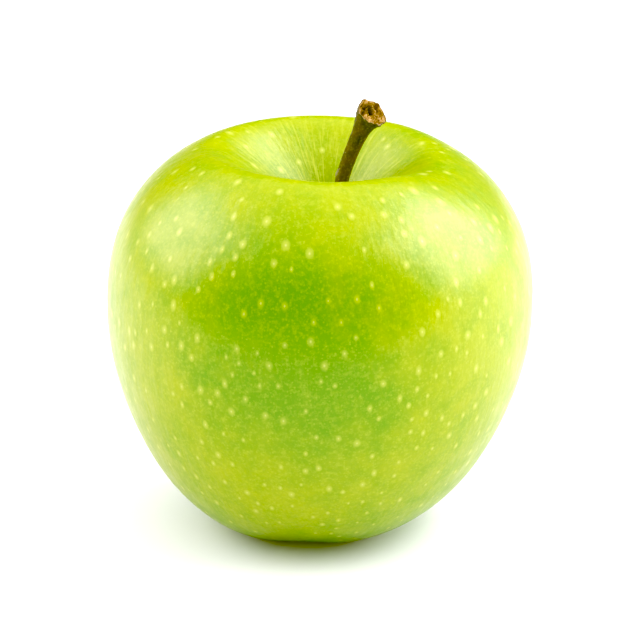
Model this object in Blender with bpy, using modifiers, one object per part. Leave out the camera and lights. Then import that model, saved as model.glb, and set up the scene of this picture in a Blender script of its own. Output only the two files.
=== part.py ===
"""A green apple as picked: the fruit, its woody stem, and the dried flower left in the eye under it.

The fruit is one solid with the stem hollow on top, and it stands on low feet round the eye.
The stem, the five sepals and the tuft of dried stamens are its only other pieces.
Units are metres and +Z is up. An empty carries every piece, and moves them all so that the origin
lies on the table under the middle of the fruit.
"""

import math
import random

import bmesh
import bpy
from mathutils import Vector

MM = 0.001
SHARP_ANGLE = math.radians(40.0)

# Driving dimensions of the fruit.
FRUIT_WIDTH = 80.0 * MM
FRUIT_HEIGHT = 72.2 * MM
FRUIT_SEGMENTS = 64
FRUIT_RINGS = 54

# The cage of half a section, from the floor of the stem hollow over the shoulder to the floor of the eye.
# Each point is (radius, height), as shares of half the width and of the height.
OUTLINE = (
    (0.000, 0.765),
    (0.060, 0.775),
    (0.125, 0.850),
    (0.237, 0.922),
    (0.367, 0.980),
    (0.493, 1.030),
    (0.625, 1.003),
    (0.819, 0.929),
    (0.970, 0.786),
    (1.004, 0.605),
    (0.968, 0.427),
    (0.828, 0.233),
    (0.670, 0.106),
    (0.506, 0.048),
    (0.338, 0.000),
    (0.225, 0.014),
    (0.135, 0.070),
    (0.050, 0.100),
    (0.000, 0.100),
)

# Lobes run from the flank to the feet. Each window is (middle, half width) along the outline.
LOBES = 5
LOBE_TURN = math.radians(230.0)
FLANK_LOBE = 0.002
FLANK_WINDOW = (0.52, 0.20)
FOOT_LOBE = 0.013
FOOT_DROP = 0.55 * MM
FOOT_WINDOW = (0.74, 0.10)
FOOT_FLAT = 0.25 * MM

# Stretches of the outline that stand off the axis, as (window, distance): the hollow, then the base.
LEANS = (
    ((0.00, 0.14), 2.3 * MM),
    ((0.90, 0.25), -2.7 * MM),
)

# Grooves of unlike depth cross the rim of the stem hollow, as (turn in degrees, half width, depth).
RIM_WINDOW = (0.27, 0.13)
RIM_GROOVES = (
    (-12.0, 36.0, 2.4 * MM),
    (62.0, 22.0, 0.1 * MM),
    (176.0, 20.0, 0.5 * MM),
    (282.0, 26.0, 0.55 * MM),
)

# The stem's centre line from the foot of its socket to the torn end, as (x, y, z, thickness share).
STEM_RADIUS = 1.25 * MM
STEM_ROUNDNESS = 4
STEM_STEPS = 4
STEM_LINE_MM = (
    (2.4, 0.0, 50.5, 1.05),
    (2.4, 0.0, 54.5, 1.02),
    (2.7, 0.0, 60.5, 0.98),
    (3.5, -0.1, 66.0, 0.96),
    (4.9, -0.3, 71.0, 1.00),
    (6.6, -0.6, 75.0, 1.12),
    (7.9, -0.9, 78.1, 1.45),
    (8.8, -1.3, 79.7, 2.15),
    (9.3, -1.8, 80.5, 2.30),
)
TORN_RIM = 0.8 * MM
TORN_DEPTH = 0.55 * MM
TORN_SEED = 7
SOCKET_GAP = 0.35 * MM
SOCKET_FLOOR = 50.0 * MM
SOCKET_TOP = 57.5 * MM
SOCKET_SIDES = 20

# The eye: a narrow tube goes up from its floor. Heights from here on are over that floor.
EYE_TUBE_RADIUS = 1.9 * MM
EYE_TUBE_END_RADIUS = 1.0 * MM
EYE_TUBE_LENGTH = 5.0 * MM
EYE_TUBE_SIDES = 20
CUTTER_OVERSHOOT = 1.0 * MM

# Five dried sepals hang round the tube. One sepal's middle line is (distance from the axis, height).
SEPALS = 5
SEPAL_FIRST_TURN = math.radians(18.0)
SEPAL_LINE_MM = (
    (2.75, -0.8),
    (2.35, -2.1),
    (2.20, -3.2),
    (2.60, -4.1),
    (3.50, -4.7),
    (4.60, -4.9),
)
SEPAL_ROOT_WIDTH = 2.8 * MM
SEPAL_TIP_WIDTH = 0.5 * MM
SEPAL_TAPER = 0.7
SEPAL_CUP = 0.45 * MM
SEPAL_THICKNESS = 0.35 * MM
SEPAL_COLUMNS = 4

# A plug in the tube holds a ring of stiff stamens with one more in the middle.
PLUG_RADIUS = 1.25 * MM
PLUG_LOW_RADIUS = 1.1 * MM
PLUG_LOW = 0.2 * MM
PLUG_HIGH = 2.2 * MM
PLUG_SIDES = 16
STAMEN_RING_COUNT = 6
STAMEN_RING_RADIUS = 0.75 * MM
STAMEN_SPREAD = math.radians(16.0)
STAMEN_LENGTH = 3.6 * MM
STAMEN_ROOT_RADIUS = 0.26 * MM
STAMEN_TIP_RADIUS = 0.16 * MM
STAMEN_ROOT_HEIGHT = 0.9 * MM
STAMEN_SIDES = 6


def material(name, colour, roughness):
    """A Principled material from a linear colour and a roughness."""
    made = bpy.data.materials.new(name)
    made.use_nodes = True
    shader = made.node_tree.nodes["Principled BSDF"]
    shader.inputs["Base Color"].default_value = (*colour, 1.0)
    shader.inputs["Roughness"].default_value = roughness
    shader.inputs["Metallic"].default_value = 0.0
    return made


def collection(name):
    """A new collection in the scene."""
    made = bpy.data.collections.new(name)
    bpy.context.scene.collection.children.link(made)
    return made


def add_object(name, data, home, parent, finish=None):
    """An object of that data, in a collection and under a parent, with a finish if one is given."""
    made = bpy.data.objects.new(name, data)
    home.objects.link(made)
    made.parent = parent
    if finish:
        data.materials.append(finish)
    return made


def add_helper(name, data, home, parent):
    """A cutter or a tool, which is no piece of the apple."""
    made = add_object(name, data, home, parent)
    made.hide_render = True
    made.display_type = "WIRE"
    return made


def boolean(target, tool, operation):
    """Cuts a tool from a target, or joins it on."""
    modifier = target.modifiers.new(tool.name, "BOOLEAN")
    modifier.object = tool
    modifier.operation = operation
    modifier.solver = "EXACT"


def mesh_from(bm, name):
    """A smooth-shaded mesh from a bmesh, with its hard edges left sharp."""
    bmesh.ops.recalc_face_normals(bm, faces=bm.faces)
    mesh = bpy.data.meshes.new(name)
    bm.to_mesh(mesh)
    bm.free()
    mesh.shade_smooth()
    mesh.set_sharp_from_angle(angle=SHARP_ANGLE)
    return mesh


def cone_mesh(name, low_radius, high_radius, low, high, sides):
    """A capped cone about the Z axis, from one height to another."""
    bm = bmesh.new()
    bmesh.ops.create_cone(
        bm, cap_ends=True, segments=sides, radius1=low_radius, radius2=high_radius, depth=high - low
    )
    bmesh.ops.translate(bm, verts=bm.verts, vec=(0.0, 0.0, (low + high) / 2.0))
    return mesh_from(bm, name)


def outline_point(along):
    """(radius, height) at a share of the way along the cage, smoothed as a cubic B-spline."""
    after_start, before_end = OUTLINE[1], OUTLINE[-2]
    cage = ((-after_start[0], after_start[1]), *OUTLINE, (-before_end[0], before_end[1]))
    spans = len(OUTLINE) - 1
    start = min(int(along * spans), spans - 1)
    t = along * spans - start
    weights = (
        (1.0 - t) ** 3 / 6.0,
        (3.0 * t**3 - 6.0 * t**2 + 4.0) / 6.0,
        (-3.0 * t**3 + 3.0 * t**2 + 3.0 * t + 1.0) / 6.0,
        t**3 / 6.0,
    )
    near = cage[start : start + len(weights)]
    radius = sum(weight * point[0] for weight, point in zip(weights, near))
    height = sum(weight * point[1] for weight, point in zip(weights, near))
    return radius * FRUIT_WIDTH / 2.0, height * FRUIT_HEIGHT


def bump(value, middle_and_half_width):
    """1 at the middle of a stretch, falling smoothly to nothing beyond both of its ends."""
    middle, half_width = middle_and_half_width
    return math.exp(-(((value - middle) / half_width) ** 2))


def rim_dip(turn):
    """How far the grooves lower the rim of the stem hollow at that turn."""
    dip = 0.0
    for degrees, half_width, depth in RIM_GROOVES:
        away = math.remainder(turn - math.radians(degrees), math.tau)
        dip += depth * bump(away, (0.0, math.radians(half_width)))
    return dip


def skin_point(along, turn):
    """The point of the skin at a share of the way from stem to eye, and at a turn about the axis."""
    radius, height = outline_point(along)
    wave = math.cos(LOBES * (turn - LOBE_TURN))
    flank = FLANK_LOBE * bump(along, FLANK_WINDOW)
    foot = bump(along, FOOT_WINDOW)
    radius *= 1.0 + wave * (flank + FOOT_LOBE * foot)
    height -= FOOT_DROP * foot * (1.0 + wave) / 2.0
    height -= rim_dip(turn) * bump(along, RIM_WINDOW)
    lean = sum(distance * bump(along, stretch) for stretch, distance in LEANS)
    return Vector((lean + radius * math.cos(turn), radius * math.sin(turn), height))


def make_fruit(parts, cutters, parent, eye):
    """The fruit: a sphere drawn out to the skin's shape, cut flat under its feet and bored at both ends."""
    bm = bmesh.new()
    bmesh.ops.create_uvsphere(bm, u_segments=FRUIT_SEGMENTS, v_segments=FRUIT_RINGS, radius=1.0)
    for vert in bm.verts:
        along = Vector((0.0, 0.0, 1.0)).angle(vert.co) / math.pi
        vert.co = skin_point(along, math.atan2(vert.co.y, vert.co.x))
    floor = min(vert.co.z for vert in bm.verts) + FOOT_FLAT
    cut = bmesh.ops.bisect_plane(
        bm,
        geom=[*bm.verts, *bm.edges, *bm.faces],
        plane_co=(0.0, 0.0, floor),
        plane_no=(0.0, 0.0, -1.0),
        clear_outer=True,
    )
    rims = [edge for edge in cut["geom_cut"] if isinstance(edge, bmesh.types.BMEdge)]
    bmesh.ops.holes_fill(bm, edges=rims)
    skin = material("green_skin", (0.32, 0.52, 0.02), 0.35)
    fruit = add_object("fruit", mesh_from(bm, "fruit"), parts, parent, skin)

    foot_x, foot_y, _, foot_share = STEM_LINE_MM[0]
    hole = STEM_RADIUS * foot_share + SOCKET_GAP
    socket_mesh = cone_mesh("stem_socket", hole, hole, SOCKET_FLOOR, SOCKET_TOP, SOCKET_SIDES)
    socket = add_helper("stem_socket", socket_mesh, cutters, parent)
    socket.location = (foot_x * MM, foot_y * MM, 0.0)
    boolean(fruit, socket, "DIFFERENCE")

    tube_mesh = cone_mesh(
        "eye_tube",
        EYE_TUBE_RADIUS,
        EYE_TUBE_END_RADIUS,
        -CUTTER_OVERSHOOT,
        EYE_TUBE_LENGTH,
        EYE_TUBE_SIDES,
    )
    tube = add_helper("eye_tube", tube_mesh, cutters, parent)
    tube.location = eye
    boolean(fruit, tube, "DIFFERENCE")
    return fruit, floor


def make_stem(parts, parent):
    """The woody stem: a bent wire that swells to the torn end where it left the twig."""
    curve = bpy.data.curves.new("stem", "CURVE")
    curve.dimensions = "3D"
    curve.bevel_depth = STEM_RADIUS
    curve.bevel_resolution = STEM_ROUNDNESS
    curve.resolution_u = STEM_STEPS
    spline = curve.splines.new("NURBS")
    spline.points.add(len(STEM_LINE_MM) - 1)
    for point, (x, y, z, share) in zip(spline.points, STEM_LINE_MM):
        point.co = (x * MM, y * MM, z * MM, 1.0)
        point.radius = share
    spline.order_u = 4
    spline.use_endpoint_u = True
    wire = add_object("stem_wire", curve, parts, parent)
    graph = bpy.context.evaluated_depsgraph_get()
    bm = bmesh.new()
    bm.from_mesh(bpy.data.meshes.new_from_object(wire.evaluated_get(graph)))
    bpy.data.objects.remove(wire)
    ends = [edge for edge in bm.edges if edge.is_boundary]
    caps = bmesh.ops.holes_fill(bm, edges=ends)["faces"]
    tear_cap(bm, max(caps, key=lambda cap: cap.calc_center_median().z))
    bark = material("stem_bark", (0.085, 0.055, 0.018), 0.75)
    return add_object("stem", mesh_from(bm, "stem"), parts, parent, bark)


def tear_cap(bm, cap):
    """Roughens the stem's upper cap into the stubs that a snapped twig leaves."""
    bmesh.ops.inset_region(bm, faces=[cap], thickness=TORN_RIM)
    inner_ring = list(cap.verts)
    middle = bmesh.ops.poke(bm, faces=[cap])["verts"]
    draw = random.Random(TORN_SEED)
    for vert in (*inner_ring, *middle):
        vert.co.z += draw.uniform(-TORN_DEPTH, TORN_DEPTH)


def make_sepals(parts, parent, eye):
    """Five dried sepals round the eye. They share one mesh, and each is turned to its own place."""
    rows = len(SEPAL_LINE_MM) - 1
    bm = bmesh.new()
    bmesh.ops.create_grid(bm, x_segments=SEPAL_COLUMNS, y_segments=rows, size=1.0)
    for vert in bm.verts:
        across = vert.co.x
        row = round((vert.co.y + 1.0) / 2.0 * rows)
        narrowing = (1.0 - row / rows) ** SEPAL_TAPER
        width = SEPAL_TIP_WIDTH + (SEPAL_ROOT_WIDTH - SEPAL_TIP_WIDTH) * narrowing
        out, height = SEPAL_LINE_MM[row]
        cup = SEPAL_CUP * narrowing * across**2
        vert.co = (out * MM - cup, across * width / 2.0, height * MM)
    mesh = mesh_from(bm, "sepal")
    mesh.materials.append(material("dried_sepal", (0.16, 0.12, 0.06), 0.85))
    for number in range(SEPALS):
        sepal = add_object(f"sepal_{number + 1}", mesh, parts, parent)
        sepal.location = eye
        sepal.rotation_euler.z = SEPAL_FIRST_TURN + math.tau * number / SEPALS
        shell = sepal.modifiers.new("thickness", "SOLIDIFY")
        shell.thickness = SEPAL_THICKNESS
        shell.offset = 0.0


def make_stamens(parts, cutters, parent, eye):
    """The tuft of dried stamens: a small plug in the eye's tube, with stiff threads joined to it."""
    plug = cone_mesh("stamen_tuft", PLUG_LOW_RADIUS, PLUG_RADIUS, PLUG_LOW, PLUG_HIGH, PLUG_SIDES)
    brown = material("dried_stamen", (0.10, 0.06, 0.03), 0.9)
    tuft = add_object("stamen_tuft", plug, parts, parent, brown)
    tuft.location = eye
    places = [(0.0, 0.0, 0.0)]
    for number in range(STAMEN_RING_COUNT):
        places.append((STAMEN_RING_RADIUS, -STAMEN_SPREAD, math.tau * number / STAMEN_RING_COUNT))
    for number, (out, spread, turn) in enumerate(places):
        name = f"stamen_{number}"
        mesh = cone_mesh(
            name, STAMEN_TIP_RADIUS, STAMEN_ROOT_RADIUS, -STAMEN_LENGTH, 0.0, STAMEN_SIDES
        )
        thread = add_helper(name, mesh, cutters, parent)
        root = Vector((out * math.cos(turn), out * math.sin(turn), STAMEN_ROOT_HEIGHT))
        thread.location = eye + root
        thread.rotation_euler = (0.0, spread, turn)
        boolean(tuft, thread, "UNION")


def main():
    for old in list(bpy.data.objects):
        bpy.data.objects.remove(old)
    parts = collection("green_apple")
    cutters = collection("cutters")
    cutters.hide_render = True
    stand = bpy.data.objects.new("middle_of_the_stand", None)
    parts.objects.link(stand)
    eye = skin_point(1.0, 0.0)
    fruit, floor = make_fruit(parts, cutters, stand, eye)
    make_stem(parts, stand)
    make_sepals(parts, stand, eye)
    make_stamens(parts, cutters, stand, eye)
    across = [vert.co.x for vert in fruit.data.vertices]
    deep = [vert.co.y for vert in fruit.data.vertices]
    stand.location = (-(min(across) + max(across)) / 2.0, -(min(deep) + max(deep)) / 2.0, -floor)


main()
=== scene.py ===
"""The looks of a green apple: waxy skin with its lenticels, a torn woody stem, and the dried flower in the eye."""

import math

import bmesh
import bpy
from mathutils import Matrix, Vector, noise


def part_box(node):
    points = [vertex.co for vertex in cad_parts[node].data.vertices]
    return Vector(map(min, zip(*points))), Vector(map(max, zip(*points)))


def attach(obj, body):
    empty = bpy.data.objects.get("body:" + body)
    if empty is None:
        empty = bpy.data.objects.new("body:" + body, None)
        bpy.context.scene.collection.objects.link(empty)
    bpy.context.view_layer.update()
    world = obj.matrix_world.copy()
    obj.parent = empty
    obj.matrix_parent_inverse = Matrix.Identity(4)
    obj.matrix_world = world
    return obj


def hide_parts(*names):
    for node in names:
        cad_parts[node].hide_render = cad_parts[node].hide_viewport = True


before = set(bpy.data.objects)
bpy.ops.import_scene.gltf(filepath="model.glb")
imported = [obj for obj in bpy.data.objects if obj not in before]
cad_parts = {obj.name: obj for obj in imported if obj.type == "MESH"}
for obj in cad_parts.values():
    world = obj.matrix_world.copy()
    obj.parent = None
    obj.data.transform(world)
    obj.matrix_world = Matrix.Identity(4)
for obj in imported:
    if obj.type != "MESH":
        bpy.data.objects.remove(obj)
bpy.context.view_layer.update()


# ---------------------------------------------------------------------------------------------
# Fruit. The skin is a thin living peel under a coat of natural wax, grown round the flesh and core.
# It dips to the stem, bulges at the shoulders and narrows to five low lobes that it stands on.
# Every point follows one rule: a smooth half section swept round, with lobes and rim grooves.

MM = 0.001
FRUIT_HALF_WIDTH = 40.0 * MM
FRUIT_HEIGHT = 72.2 * MM
SECTION_CAGE = (  # (radius, height) as shares, from the floor of the stem hollow to the floor of the eye
    (0.000, 0.765),
    (0.060, 0.775),
    (0.125, 0.850),
    (0.237, 0.922),
    (0.367, 0.980),
    (0.493, 1.030),
    (0.625, 1.003),
    (0.819, 0.929),
    (0.970, 0.786),
    (1.004, 0.605),
    (0.968, 0.427),
    (0.828, 0.233),
    (0.670, 0.106),
    (0.506, 0.048),
    (0.338, 0.000),
    (0.225, 0.014),
    (0.135, 0.070),
    (0.050, 0.100),
    (0.000, 0.100),
)
RIM_WINDOW = (0.27, 0.13)
RIM_GROOVES = (  # (turn in degrees, half width, depth)
    (-12.0, 36.0, 2.4 * MM),
    (62.0, 22.0, 0.1 * MM),
    (176.0, 20.0, 0.5 * MM),
    (282.0, 26.0, 0.55 * MM),
)
FLANK_WINDOW = (0.52, 0.20)
FOOT_WINDOW = (0.74, 0.10)
HOLLOW_WINDOW = (0.00, 0.14)
BASE_WINDOW = (0.90, 0.25)
SKIN_SIZES = {
    "Segments": 400,
    "Resolution": 10,
    "Half width": FRUIT_HALF_WIDTH,
    "Height": FRUIT_HEIGHT,
    "Lobes": 5.0,
    "Lobe turn": math.radians(230.0),
    "Flank lobe": 0.002,
    "Foot lobe": 0.013,
    "Foot drop": 0.55 * MM,
    "Hollow lean": 2.3 * MM,
    "Base lean": -2.7 * MM,
    "Eye tube radius": 1.9 * MM,
    "Eye tube end radius": 1.0 * MM,
    "Eye tube length": 5.0 * MM,
    "Broad relief": 0.30 * MM,
    "Fine relief": 0.030 * MM,
}


def add_node(tree, kind, inputs=None, **settings):
    """Adds a node with its settings. Each input is a value to set or a socket to link."""
    node = tree.nodes.new(kind)
    for name, value in settings.items():
        setattr(node, name, value)
    for name, value in (inputs or {}).items():
        if isinstance(value, bpy.types.NodeSocket):
            tree.links.new(value, node.inputs[name])
        else:
            node.inputs[name].default_value = value
    return node


def start_tree(name, sizes):
    """A Geometry Nodes tree with a mesh in and out and a named input for each size."""
    tree = bpy.data.node_groups.new(name, "GeometryNodeTree")
    tree.interface.new_socket("Mesh", in_out="INPUT", socket_type="NodeSocketGeometry")
    for label, value in sizes.items():
        kind = "NodeSocketInt" if isinstance(value, int) else "NodeSocketFloat"
        tree.interface.new_socket(label, in_out="INPUT", socket_type=kind)
    tree.interface.new_socket("Mesh", in_out="OUTPUT", socket_type="NodeSocketGeometry")
    return tree, add_node(tree, "NodeGroupInput").outputs


def end_tree(tree, shape, finish):
    """Closes a tree: everything in it is realised and takes one finish."""
    real = add_node(tree, "GeometryNodeRealizeInstances", {"Geometry": shape}).outputs[0]
    smooth = add_node(tree, "GeometryNodeSetShadeSmooth", {"Geometry": real}).outputs[0]
    covered = add_node(tree, "GeometryNodeSetMaterial", {"Geometry": smooth, "Material": finish})
    add_node(tree, "NodeGroupOutput", {"Mesh": covered.outputs[0]})


def grow(name, base_mesh, tree, sizes):
    """Runs a tree on a base mesh, and returns what it makes as an object with a plain mesh."""
    seed = bpy.data.objects.new(name + "_seed", base_mesh)
    bpy.context.scene.collection.objects.link(seed)
    modifier = seed.modifiers.new(name, "NODES")
    modifier.node_group = tree
    for item in tree.interface.items_tree:
        if item.in_out == "INPUT" and item.name in sizes:
            modifier[item.identifier] = sizes[item.name]
    graph = bpy.context.evaluated_depsgraph_get()
    mesh = bpy.data.meshes.new_from_object(seed.evaluated_get(graph))
    bpy.data.objects.remove(seed)
    mesh.name = name
    piece = bpy.data.objects.new(name, mesh)
    bpy.context.scene.collection.objects.link(piece)
    return piece


def linear(hex_colour):
    """An sRGB hex colour as the linear colour that a shader takes."""
    shares = [int(hex_colour[start : start + 2], 16) / 255.0 for start in (1, 3, 5)]
    lit = [s / 12.92 if s <= 0.04045 else ((s + 0.055) / 1.055) ** 2.4 for s in shares]
    return (*lit, 1.0)


def start_material(name):
    """A material with its tree and its Principled shader."""
    made = bpy.data.materials.new(name)
    made.use_nodes = True
    return made, made.node_tree, made.node_tree.nodes["Principled BSDF"]


def add_bell(tree, value, window):
    """Nodes for 1 at the middle of a stretch of the section, falling smoothly to 0 on both sides."""
    middle, half_width = window
    away = add_node(tree, "ShaderNodeMath", {0: value, 1: middle}, operation="SUBTRACT")
    share = add_node(tree, "ShaderNodeMath", {0: away.outputs[0], 1: half_width}, operation="DIVIDE")
    square = add_node(tree, "ShaderNodeMath", {0: share.outputs[0], 1: 2.0}, operation="POWER")
    minus = add_node(tree, "ShaderNodeMath", {0: square.outputs[0], 1: -1.0}, operation="MULTIPLY")
    return add_node(tree, "ShaderNodeMath", {0: minus.outputs[0]}, operation="EXPONENT").outputs[0]


# Waxed peel: yellow-green with a greener cheek at the front that is partly painted shade, pale streaks that run to
# the stem, and a soft gloss.
# The wax gives an even, slightly grainy shine; the pale lenticels stand a hair proud.
PEEL_YELLOW = "#8d9b00"
PEEL_GREEN = "#4e8600"
PEEL_HOLLOW_GREEN_AND_SHADE = "#4c7800"
PEEL_PALE = "#b2b63c"
LENTICEL_HALO = "#a8b040"
LENTICEL_CORE = "#c6c878"
peel, tree, shader = start_material("waxed_green_peel")
place = add_node(tree, "ShaderNodeTexCoord").outputs["Object"]
meridian = add_node(tree, "ShaderNodeAttribute", attribute_name="meridian").outputs["Vector"]
lenticel = add_node(tree, "ShaderNodeAttribute", attribute_name="lenticel").outputs["Fac"]
along = add_node(tree, "ShaderNodeSeparateXYZ", {0: meridian}).outputs["Z"]

# Broad patches about 30 mm across turn the peel from yellow to green, and 6 mm mottle breaks them up.
patches = add_node(tree, "ShaderNodeTexNoise", {"Vector": place, "Scale": 34.0, "Detail": 2.0})
mottle = add_node(
    tree,
    "ShaderNodeTexNoise",
    {"Vector": place, "Scale": 170.0, "Detail": 6.0, "Roughness": 0.68},
)
# Painted shade: the cheek is a darker green patch at the front centre, partly the peel's own green and partly
# shade painted into the colour. Lenticel halos are fainter on it.
cheek_shade_distance = add_node(
    tree,
    "ShaderNodeVectorMath",
    {0: place, 1: (-0.005, -0.040, 0.046)},
    operation="DISTANCE",
).outputs["Value"]
cheek_painted_shade = add_node(
    tree,
    "ShaderNodeMapRange",
    {"Value": cheek_shade_distance, "From Min": 0.004, "From Max": 0.034, "To Min": 0.78, "To Max": 0.0},
    interpolation_type="SMOOTHERSTEP",
).outputs["Result"]
blend = add_node(
    tree,
    "ShaderNodeMapRange",
    {"Value": patches.outputs["Fac"], "From Min": 0.35, "From Max": 0.65, "To Min": 0.0, "To Max": 0.3},
).outputs["Result"]
blend = add_node(tree, "ShaderNodeMath", {0: blend, 1: cheek_painted_shade}, operation="ADD").outputs[0]
shift = add_node(
    tree,
    "ShaderNodeMapRange",
    {"Value": mottle.outputs["Fac"], "From Min": 0.3, "From Max": 0.7, "To Min": -0.30, "To Max": 0.34},
).outputs["Result"]
blend = add_node(tree, "ShaderNodeMath", {0: blend, 1: shift}, operation="ADD", use_clamp=True).outputs[0]
base_green = add_node(
    tree,
    "ShaderNodeMapRange",
    {"Value": along, "From Min": 0.58, "From Max": 0.78, "To Min": 0.0, "To Max": 0.85},
    interpolation_type="SMOOTHSTEP",
).outputs["Result"]
blend = add_node(
    tree,
    "ShaderNodeMath",
    {0: blend, 1: base_green},
    operation="ADD", use_clamp=True,
).outputs[0]
colour = add_node(
    tree,
    "ShaderNodeMix",
    {"Factor": blend, 6: linear(PEEL_YELLOW), 7: linear(PEEL_GREEN)},
    data_type="RGBA",
).outputs[2]

# The floor of the stem hollow, shaded as it grows, stays a deeper green; this darker green in the recess is partly
# painted shade.
hollow_green_and_shade = add_node(
    tree,
    "ShaderNodeMapRange",
    {"Value": along, "From Min": 0.06, "From Max": 0.24, "To Min": 0.95, "To Max": 0.0},
    interpolation_type="SMOOTHSTEP",
).outputs["Result"]
colour = add_node(
    tree, "ShaderNodeMix", {"Factor": hollow_green_and_shade, 6: colour, 7: linear(PEEL_HOLLOW_GREEN_AND_SHADE)}, data_type="RGBA"
).outputs[2]

# Pale streaks about 1 mm wide follow the lines from stem to eye, and are strong in the hollow.
stretched = add_node(
    tree, "ShaderNodeVectorMath", {0: meridian, 1: (24.0, 24.0, 15.0)}, operation="MULTIPLY"
).outputs["Vector"]
streaks = add_node(
    tree,
    "ShaderNodeTexNoise",
    {"Vector": stretched, "Scale": 1.0, "Detail": 5.0, "Roughness": 0.65, "Distortion": 0.3},
).outputs["Fac"]
streaks = add_node(
    tree,
    "ShaderNodeMapRange",
    {"Value": streaks, "From Min": 0.50, "From Max": 0.70},
    interpolation_type="SMOOTHSTEP",
).outputs["Result"]
near_stem = add_node(
    tree,
    "ShaderNodeMapRange",
    {"Value": along, "From Min": 0.16, "From Max": 0.36, "To Min": 0.75, "To Max": 0.05},
    interpolation_type="SMOOTHSTEP",
).outputs["Result"]
streaks = add_node(tree, "ShaderNodeMath", {0: streaks, 1: near_stem}, operation="MULTIPLY").outputs[0]
colour = add_node(
    tree, "ShaderNodeMix", {"Factor": streaks, 6: colour, 7: linear(PEEL_PALE)}, data_type="RGBA"
).outputs[2]

# Pin dots about 0.3 mm wide and 0.8 mm apart are young pores, and finer flecks lie between them.
pores = add_node(tree, "ShaderNodeTexVoronoi", {"Vector": place, "Scale": 1300.0}).outputs["Distance"]
pores = add_node(
    tree,
    "ShaderNodeMapRange",
    {"Value": pores, "From Min": 0.10, "From Max": 0.35, "To Min": 0.22, "To Max": 0.0},
    interpolation_type="SMOOTHSTEP",
).outputs["Result"]
colour = add_node(
    tree, "ShaderNodeMix", {"Factor": pores, 6: colour, 7: linear(PEEL_PALE)}, data_type="RGBA"
).outputs[2]
flecks = add_node(
    tree, "ShaderNodeTexNoise", {"Vector": place, "Scale": 1100.0, "Detail": 3.0, "Roughness": 0.7}
).outputs["Fac"]
flecks = add_node(
    tree,
    "ShaderNodeMapRange",
    {"Value": flecks, "From Min": 0.48, "From Max": 0.72, "To Min": 0.0, "To Max": 0.30},
).outputs["Result"]
colour = add_node(
    tree, "ShaderNodeMix", {"Factor": flecks, 6: colour, 7: linear(PEEL_PALE)}, data_type="RGBA"
).outputs[2]
halo = add_node(
    tree,
    "ShaderNodeMapRange",
    {"Value": lenticel, "From Min": 0.0, "From Max": 0.7, "To Min": 0.0, "To Max": 0.85},
    interpolation_type="SMOOTHSTEP",
).outputs["Result"]
fainter = add_node(
    tree, "ShaderNodeMapRange", {"Value": cheek_painted_shade, "From Max": 0.9, "To Min": 1.0, "To Max": 0.5}
).outputs["Result"]
halo = add_node(tree, "ShaderNodeMath", {0: halo, 1: fainter}, operation="MULTIPLY").outputs[0]
colour = add_node(
    tree, "ShaderNodeMix", {"Factor": halo, 6: colour, 7: linear(LENTICEL_HALO)}, data_type="RGBA"
).outputs[2]
core = add_node(
    tree,
    "ShaderNodeMapRange",
    {"Value": lenticel, "From Min": 0.70, "From Max": 0.98, "To Min": 0.0, "To Max": 0.5},
    interpolation_type="SMOOTHSTEP",
).outputs["Result"]
colour = add_node(
    tree, "ShaderNodeMix", {"Factor": core, 6: colour, 7: linear(LENTICEL_CORE)}, data_type="RGBA"
).outputs[2]
tree.links.new(colour, shader.inputs["Base Color"])

# The wax is grainy at 0.5 mm, and ripples 2 to 3 mm across follow the lines from stem to eye.
# Both break up the edge of a highlight. The hollow is less rubbed, so its wax is more matt.
grain = add_node(
    tree, "ShaderNodeTexNoise", {"Vector": place, "Scale": 1900.0, "Detail": 2.0, "Roughness": 0.6}
).outputs["Fac"]
bump = add_node(tree, "ShaderNodeBump", {"Height": grain, "Strength": 0.6, "Distance": 0.03 * MM})
drawn = add_node(
    tree, "ShaderNodeVectorMath", {0: meridian, 1: (17.0, 17.0, 44.0)}, operation="MULTIPLY"
).outputs["Vector"]
ripple = add_node(tree, "ShaderNodeTexNoise", {"Vector": drawn, "Scale": 1.0, "Detail": 3.0}).outputs["Fac"]
bump = add_node(
    tree,
    "ShaderNodeBump",
    {"Height": ripple, "Strength": 0.55, "Distance": 0.35 * MM, "Normal": bump.outputs["Normal"]},
)
tree.links.new(bump.outputs["Normal"], shader.inputs["Normal"])
roughness = add_node(
    tree,
    "ShaderNodeMapRange",
    {"Value": mottle.outputs["Fac"], "From Min": 0.3, "From Max": 0.7, "To Min": 0.31, "To Max": 0.47},
).outputs["Result"]
matt = add_node(
    tree,
    "ShaderNodeMapRange",
    {"Value": along, "From Min": 0.12, "From Max": 0.26, "To Min": 0.28, "To Max": 0.0},
    interpolation_type="SMOOTHSTEP",
).outputs["Result"]
roughness = add_node(tree, "ShaderNodeMath", {0: roughness, 1: matt}, operation="ADD").outputs[0]
tree.links.new(roughness, shader.inputs["Roughness"])
shader.inputs["IOR"].default_value = 1.5
shader.inputs["Coat Weight"].default_value = 0.4
shader.inputs["Coat Roughness"].default_value = 0.30

cage = bpy.data.meshes.new("section_cage")
before = (-SECTION_CAGE[1][0], SECTION_CAGE[1][1])
after = (-SECTION_CAGE[-2][0], SECTION_CAGE[-2][1])
cage_points = [(radius, 0.0, height) for radius, height in (before, *SECTION_CAGE, after)]
cage.from_pydata(cage_points, [(i, i + 1) for i in range(len(cage_points) - 1)], [])

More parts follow.
